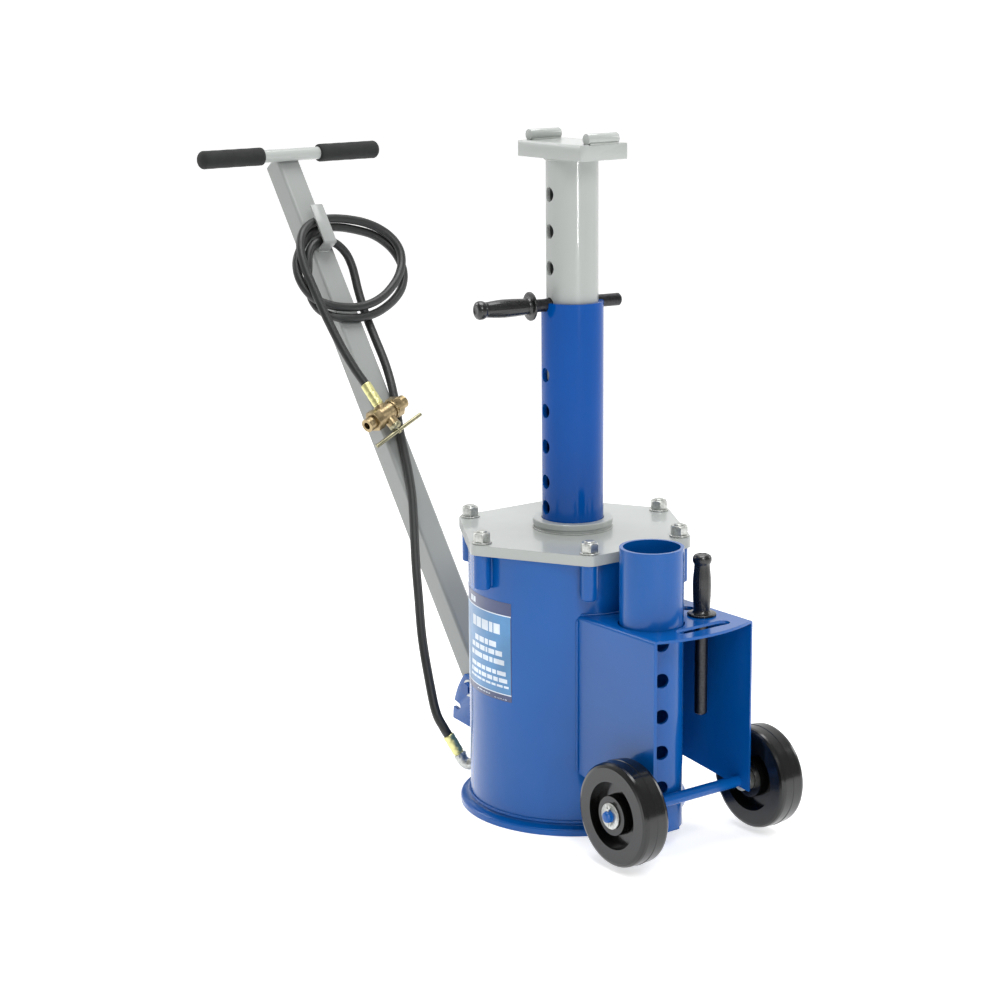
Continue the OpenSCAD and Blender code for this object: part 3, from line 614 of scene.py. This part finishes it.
# Node, width of the rounding in millimetres, and facets across it
SOFT = (
    ("base_plate", 1.2, 3), ("top_nuts", 0.35, 2), ("top_washers", 0.4, 1),
    ("handle_ears", 0.7, 2), ("saddle_plate", 0.9, 2), ("saddle_bars", 0.6, 2),
    ("axle", 0.6, 2), ("axle_spacers", 0.5, 2), ("axle_washers", 0.4, 1),
    ("tube_rest", 0.8, 2), ("valve_unions", 0.6, 2), ("drain_plug", 0.5, 2),
)

for soft_name, soft_width, soft_steps in SOFT:
    softened(soft_name, soft_width, soft_steps)
# The hook takes the handle's darker grey: painted shade
softened("hose_hook", 0.7, 2, material=SHADED_HANDLE_GREY)
softened("valve_packing_nut", 0.5, 2, material=DICHROMATE)


# ---- Weld runs ----

def line(a, b):
    return [a, (a + b) / 2, b]


def ring_points(z, radius):
    """A closed circle round the jack's axis, fine enough to carry the ripple of a weld."""
    count = round(2 * math.pi * radius / RIPPLE)
    return [Vector((0, 0, z)) + radius * Vector((math.cos(2 * math.pi * i / count),
                                                 math.sin(2 * math.pi * i / count), 0))
            for i in range(count)]


def on_wall(x, z, back=False):
    """A place just outside the cylinder's wall at a given X, in front of it or behind."""
    y = math.sqrt((CYL_R + 1) ** 2 - x * x)
    return Vector((x, y if back else -y, z))


def weld_carriage():
    cheeks = [line(on_wall(side * (CARRIAGE_HALF + 1), CARRIAGE_FOOT_Z),
                   on_wall(side * (CARRIAGE_HALF + 1), SHELF_Z - 6)) for side in (-1, 1)]
    shelf = [on_wall(x, SHELF_Z + 1) for x in range(-104, 105, 8)]
    bead("weld_carriage", cheeks + [shelf], 2.6, "frame", seed=2)


def weld_bosses():
    runs = []
    for k in range(6):
        turn = Matrix.Rotation(math.radians(60 * k), 3, "Z")
        for side in (-1, 1):
            foot = Vector((CYL_R - 0.5, side * BOSS_HALF, BOSS_FOOT_Z))
            head = Vector((CYL_R - 0.5, side * BOSS_HALF, TOP_Z - 2))
            runs.append(line(turn @ foot, turn @ head))
    bead("weld_bosses", runs, 2.6, "frame", seed=3)


def weld_ears():
    low, high = EAR_WELD_Z
    runs = [line(on_wall(side * x, low, True), on_wall(side * x, high, True))
            for side in (-1, 1) for x in EAR_FACES]
    bead("weld_ears", runs, 2.6, "frame", seed=4)


def weld_saddle_bars(body):
    runs = []
    for y in (-SADDLE_BAR_Y, SADDLE_BAR_Y):
        for off in (-7.6, 7.6):
            runs.append(line(Vector((-SADDLE_BAR_WELD, y + off, SADDLE_Z + 0.6)),
                             Vector((SADDLE_BAR_WELD, y + off, SADDLE_Z + 0.6))))
    bead("weld_saddle_bars", runs, 2.2, body, True, seed=5)


def across_bar(half, s, n):
    """A straight run across the handle's bar."""
    return line(on_handle(-half, s, n), on_handle(half, s, n))


def weld_axle():
    runs = []
    for side in (-1, 1):
        hub = Vector((side * (CARRIAGE_HALF + 0.6), AXLE_Y, AXLE_Z))
        toe = AXLE_R + 1.2
        runs.append([hub + Vector((0, toe * math.cos(t / 10), toe * math.sin(t / 10)))
                     for t in range(63)])
    bead("weld_axle", runs, 1.8, "frame", seed=8)


def add_welds():
    saddle_body = NODES["saddle_plate"]["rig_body"]
    bead("weld_base", [ring_points(BASE_T, CYL_R + 1)], 3, "frame", closed=True)
    bead("weld_collar", [ring_points(BODY_H + 0.6, COLLAR_FOOT_R)], 2.2, "frame", True, True)
    bead("weld_post", [ring_points(POST_WELD_Z, POST_R + 1)], 2.4, saddle_body, True, True)
    weld_carriage()
    weld_bosses()
    weld_ears()
    weld_saddle_bars(saddle_body)
    cross = [across_bar(23, T_BAR_S + off * 0.8, BAR_HALF + 2) for off in (-6.5, 6.5)]
    bead("weld_cross_bar", cross, 2.6, "handle", True, seed=6)
    hook = [across_bar(13, s, BAR_HALF + 1) for s in (HOOK_S - 3, HOOK_S + 4)]
    bead("weld_hook", hook, 2.2, "handle", True, seed=7)
    weld_axle()


add_welds()


# ---- Foam and moulded grips ----

def add_foam_grips():
    """Slightly uneven foam tubes with a rolled inner end and a domed outer one."""
    dome_l = 12
    wave_from = 8
    waves = 14
    for side, name in ((1, "grip_right"), (-1, "grip_left")):
        along = Vector((side, 0, 0))
        across = on_handle(0, 1, 0) - on_handle(0, 0, 0)
        out = along.cross(across)
        turn = Matrix((across, out, along)).transposed().to_4x4()
        place = Matrix.Translation(on_handle(side * GRIP_FROM, T_BAR_S, T_BAR_N) * MM) @ turn
        length = GRIP_END - GRIP_FROM
        dome = [(GRIP_R * math.cos(t), length - dome_l + dome_l * math.sin(t))
                for t in (math.radians(9 * k) for k in range(11))]
        dome[-1] = (0, length)
        profile = [(T_BAR_R + 0.05, 2), (T_BAR_R + 0.05, 0.3), (GRIP_R - 3.5, 0),
                   (GRIP_R - 1.2, 1), (GRIP_R - 0.2, 3.4), (GRIP_R - 0.1, wave_from)]
        profile += [(GRIP_R - 0.25 + 0.2 * math.sin(k * 1.7),
                     wave_from + k * (length - wave_from - dome_l - 2) / waves)
                    for k in range(1, waves)]
        profile += dome
        bm = bmesh.new()
        lathe(bm, [(max(0, r) * MM, z * MM) for r, z in profile], 56, place)
        piece = add_mesh(name + "_foam", bm, FOAM, "handle", smooth=50)
        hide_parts(name)


def add_pin_grips():
    """Vinyl grips: a flange, a waisted body with fine lengthwise ridges, and a knob."""
    outline = [(9, 0), (23.8, 0), (24.8, -1), (24.8, -3.5), (23.3, -4.5), (16, -5), (14, -9)]
    body = [(14.3, -14), (14.9, -24), (15.4, -34), (15.7, -44), (15.8, -54), (15.4, -64),
            (14.7, -72), (13.9, -80)]
    knob = [(13.4, -86), (13.7, -89), (15.6, -92.5), (16.2, -96), (16, -100), (14.4, -103.4),
            (11, -PIN_GRIP_L + 0.4), (7.5, -PIN_GRIP_L), (6.5, -PIN_GRIP_L + 1.2),
            (0, -PIN_GRIP_L + 1.4)]
    profile = rounded_profile(outline + body + knob, 0.9)
    post = (Matrix.Rotation(PIN_TURN, 4, "Z") @ Matrix.Translation(POST_PIN_AT * MM)
            @ Matrix.Rotation(math.pi / 2, 4, "Y"))
    stored = Matrix.Translation(STORED_PIN_AT * MM) @ Matrix.Rotation(math.pi, 4, "X")

    ridges_from, ridges_to, fade_l = 12, 84, 6
    ridge_depth = 0.00022

    def ridges(z, a):
        down = -z / MM
        if not ridges_from <= down <= ridges_to:
            return 0.0
        fade = min(1, (down - ridges_from) / fade_l, (ridges_to - down) / fade_l)
        return -ridge_depth * fade * (1 - abs(math.cos(a * 12)))

    for name, place in (("post_pin_grip", post), ("stored_pin_grip", stored)):
        bm = bmesh.new()
        lathe(bm, profile, 120, place, ridges)
        node = NODES[name]
        piece = add_mesh(name + "_vinyl", bm, GRIP, node["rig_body"], smooth=60)
        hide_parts(name)


add_foam_grips()
add_pin_grips()


# ---- Crimped hose ends ----

def add_ferrule(name, start, direction, length):
    """A smooth brass sleeve with two shallow crimp bands and a rolled lip."""
    outline = [(0, 0), (8.8, 0), (9, 2.5), (10.3, 4), (10.4, 11), (10, 13), (10, 16),
               (10.4, 18), (10.4, 26), (10, 28), (10, 31), (10.4, 33), (10.4, length - 2),
               (9.9, length - 0.3), (8.7, length), (0, length)]
    bm = bmesh.new()
    lathe(bm, rounded_profile(outline, 0.8), 48, standing(start, direction))
    piece = add_mesh(name + "_sleeve", bm, BRASS, NODES[name]["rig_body"],
                     smooth=50)
    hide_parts(name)


def add_lever():
    """The valve's bar with rounded ends, a little fuller than in the frame."""
    middle = Vector((-12.6, 512, 60))
    reach = LEVER_L / 2 * Vector((0.907, 0.366, 0.208))
    low, high = on_handle(*(middle - reach)), on_handle(*(middle + reach))
    lever_r = 3.9
    outline = [(0, 0), (lever_r, 0), (lever_r, LEVER_L), (0, LEVER_L)]
    bm = bmesh.new()
    lathe(bm, rounded_profile(outline, 1.4), 32, standing(low, high - low))
    piece = add_mesh("lever_bar", bm, DICHROMATE, NODES["valve_lever"]["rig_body"],
                     smooth=50)
    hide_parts("valve_lever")


HOSE_TAIL_END = on_handle(*TAIL_ROUTE[-1])
TAIL_FERRULE_FOOT = on_handle(*TAIL_FERRULE_AT)
TAIL_FERRULE_RUN = HOSE_TAIL_END - TAIL_FERRULE_FOOT
add_ferrule("lower_ferrule", ELBOW_AT + ELBOW_DIR * FERRULE_FROM, ELBOW_DIR, FERRULE_L - 0.5)
add_ferrule("tail_ferrule", TAIL_FERRULE_FOOT, TAIL_FERRULE_RUN.normalized(),
            TAIL_FERRULE_RUN.length - 0.6)
add_lever()


# ---- Inlet pipe ----

def add_elbow():
    """One smooth bent pipe from the cylinder's wall to the ferrule, with a collar at its foot
    and a nut at its end."""
    radial = Vector((math.cos(ELBOW_AZIMUTH), math.sin(ELBOW_AZIMUTH), 0))
    bend = (ELBOW_AT - radial * 34, ELBOW_AT - radial * 15,
            ELBOW_AT - radial * 4 - ELBOW_DIR * 1.5, ELBOW_AT + radial * 1.5 + ELBOW_DIR * 6,
            ELBOW_AT + ELBOW_DIR * 13, ELBOW_AT + ELBOW_DIR * (FERRULE_FROM - 0.2))
    pipe_r = 10.5
    collar = [(9, -1), (13.5, -1), (13.5, 4), (12, 6), (9, 6)]
    nut = [(9.5, 0), (11.4, 0.3), (11.8, 1.5), (11.8, 4.5), (11.2, 5.8), (8, 5.8)]
    bm = bmesh.new()
    sweep(bm, spline([p * MM for p in bend], 0.0012), pipe_r * MM, sides=40)
    lathe(bm, rounded_profile(collar, 0.8), 48,
          standing(radial * CYL_R + Vector((0, 0, ELBOW_Z)), radial))
    lathe(bm, rounded_profile(nut, 0.5), 6, standing(ELBOW_AT + ELBOW_DIR * 14, ELBOW_DIR))
    piece = add_mesh("inlet_pipe", bm, ZINC, "frame", smooth=40)
    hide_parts("inlet_elbow")


add_elbow()


# ---- Label: a dark film with a pale field, two rules and plain bars in place of words ----

def arc(r, z, start, end, steps):
    """Points round the cylinder at one height, between two azimuths in degrees."""
    azimuths = [math.radians(start + (end - start) * i / steps) for i in range(steps + 1)]
    return [Vector((r * math.cos(a), r * math.sin(a), z)) for a in azimuths]


def curved_patch(bm, start, end, low, high, proud):
    """A thin patch on the cylinder between two azimuths in degrees and two heights."""
    steps = max(2, round((end - start) / 1.5))
    in_low, in_high, out_low, out_high = (
        [bm.verts.new(p * MM) for p in arc(CYL_R + out, z, start, end, steps)]
        for out in (0.02, proud) for z in (low, high))
    for i in range(steps):
        j = i + 1
        bm.faces.new((out_low[i], out_low[j], out_high[j], out_high[i]))
        bm.faces.new((in_low[j], in_low[i], in_high[i], in_high[j]))
        bm.faces.new((out_high[i], out_high[j], in_high[j], in_high[i]))
        bm.faces.new((in_low[i], in_low[j], out_low[j], out_low[i]))
    for i in (0, steps):
        bm.faces.new((in_low[i], out_low[i], out_high[i], in_high[i]))


# Rows of bars: middle height, bar height, first and last azimuth in degrees, number of bars
LABEL_ROWS = (
    (350.5, 18, 161, 189.5, 5), (321.5, 10, 164, 186.5, 4), (307, 9, 159.5, 191, 6),
    (292, 9, 158.5, 192.5, 5), (272.5, 7.5, 158.5, 193.5, 6), (260, 7.5, 158, 194.5, 7),
    (249.5, 4, 157, 195.5, 8), (387.5, 10, 157.5, 166, 2), (230, 1.6, 167, 181, 5),
    (227, 1.2, 184, 194, 6),
)


def add_label():
    film_proud, field_proud, print_proud = 0.3, 0.38, 0.46
    gap_degrees = 0.45
    bm = bmesh.new()
    curved_patch(bm, 138, 197, 224, 400, film_proud)
    film = add_mesh("label_film", bm, FILM, "frame")
    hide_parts("rating_label")
    bm = bmesh.new()
    curved_patch(bm, 138.5, 196.5, 236, 376, field_proud)
    add_mesh("label_field", bm, FIELD, "frame")
    bm = bmesh.new()
    for rule_z in (235, 375.5):
        curved_patch(bm, 138.5, 196.8, rule_z, rule_z + 1.8, print_proud)
    rng = random.Random(11)
    for middle, tall, start, end, count in LABEL_ROWS:
        inner = [(k + 1 + rng.uniform(-0.35, 0.35)) / count for k in range(count - 1)]
        cuts = sorted([0, 1] + inner)
        span = end - start
        gap = gap_degrees / span
        for a, b in zip(cuts, cuts[1:]):
            curved_patch(bm, start + span * (a + gap), start + span * (b - gap),
                         middle - tall / 2, middle + tall / 2, print_proud)
    add_mesh("label_print", bm, PRINT, "frame")


add_label()


# ---- Floor and light ----

# Square lights: name, place, side and power, and the place that each faces
LIGHTS = (
    ("key", (-1.4, -3.4, 3.6), 1.6, 84, (0, 0, 0.6)),
    ("side", (3.6, -1.2, 2.2), 1.4, 26, (0, 0, 0.6)),
    ("top", (0.2, 0.4, 4.2), 2.6, 125, (0, 0, 0.4)),
    ("rear", (-1.8, 3.6, 2.6), 1.6, 30, (0, 0.2, 0.8)),
)
FLOOR_HALF = 40


def add_floor():
    """A large sheet of white paper that gives off a little light, so that it stays white."""
    bm = bmesh.new()
    bmesh.ops.create_grid(bm, x_segments=1, y_segments=1, size=FLOOR_HALF)
    data = bpy.data.meshes.new("floor")
    bm.to_mesh(data)
    bm.free()
    floor = bpy.data.objects.new("floor", data)
    bpy.context.scene.collection.objects.link(floor)
    material = bpy.data.materials.new("floor_paper")
    n = Nodes(material)
    n.set(Base_Color=n.mix(n.noise(3, 3), (0.84, 0.84, 0.84), (0.88, 0.88, 0.88)),
          Roughness=n.remap(n.noise(8, 2), 0.6, 0.75), Specular_IOR_Level=0.1,
          Emission_Color=(1.0, 1.0, 1.0), Emission_Strength=0.56)
    give_material(floor, material)


def add_world():
    """White all round, darker towards the camera's side so that the paint keeps its depth."""
    world = bpy.data.worlds.new("studio")
    bpy.context.scene.world = world
    world.use_nodes = True
    tree = world.node_tree
    background = tree.nodes["Background"]
    place = tree.nodes.new("ShaderNodeTexCoord")
    facing = tree.nodes.new("ShaderNodeVectorMath")
    facing.operation = "DOT_PRODUCT"
    facing.inputs[1].default_value = (0.59, 0.8, -0.1)
    tree.links.new(place.outputs["Generated"], facing.inputs[0])
    ramp = tree.nodes.new("ShaderNodeMapRange")
    ramp.interpolation_type = "SMOOTHSTEP"
    for key, v in (("From Min", -0.2), ("From Max", 0.8), ("To Min", 0.34), ("To Max", 1.05)):
        ramp.inputs[key].default_value = v
    tree.links.new(facing.outputs["Value"], ramp.inputs["Value"])
    tree.links.new(ramp.outputs[0], background.inputs["Strength"])
    background.inputs["Color"].default_value = (1.0, 1.0, 1.0, 1)


def add_light(name, at, power, aim):
    """An area light at a place, facing along aim. Returns its data, for its size."""
    data = bpy.data.lights.new(name, "AREA")
    data.energy = power
    light = bpy.data.objects.new(name, data)
    light.location = at
    light.rotation_euler = aim.to_track_quat("-Z", "Y").to_euler()
    bpy.context.scene.collection.objects.link(light)
    return data


def add_lights():
    for name, at, side, power, target in LIGHTS:
        add_light(name, at, power, Vector(target) - Vector(at)).size = side
    # A narrow strip low in front, for the bright line down the ram and the post
    strip = add_light("strip", (-0.7, -2.9, 0.78), 9, Vector((0.7, 2.9, 0)))
    strip.shape = "RECTANGLE"
    strip.size, strip.size_y = 0.13, 0.28


add_floor()
add_world()
add_lights()
bpy.context.scene.view_settings.view_transform = "Standard"
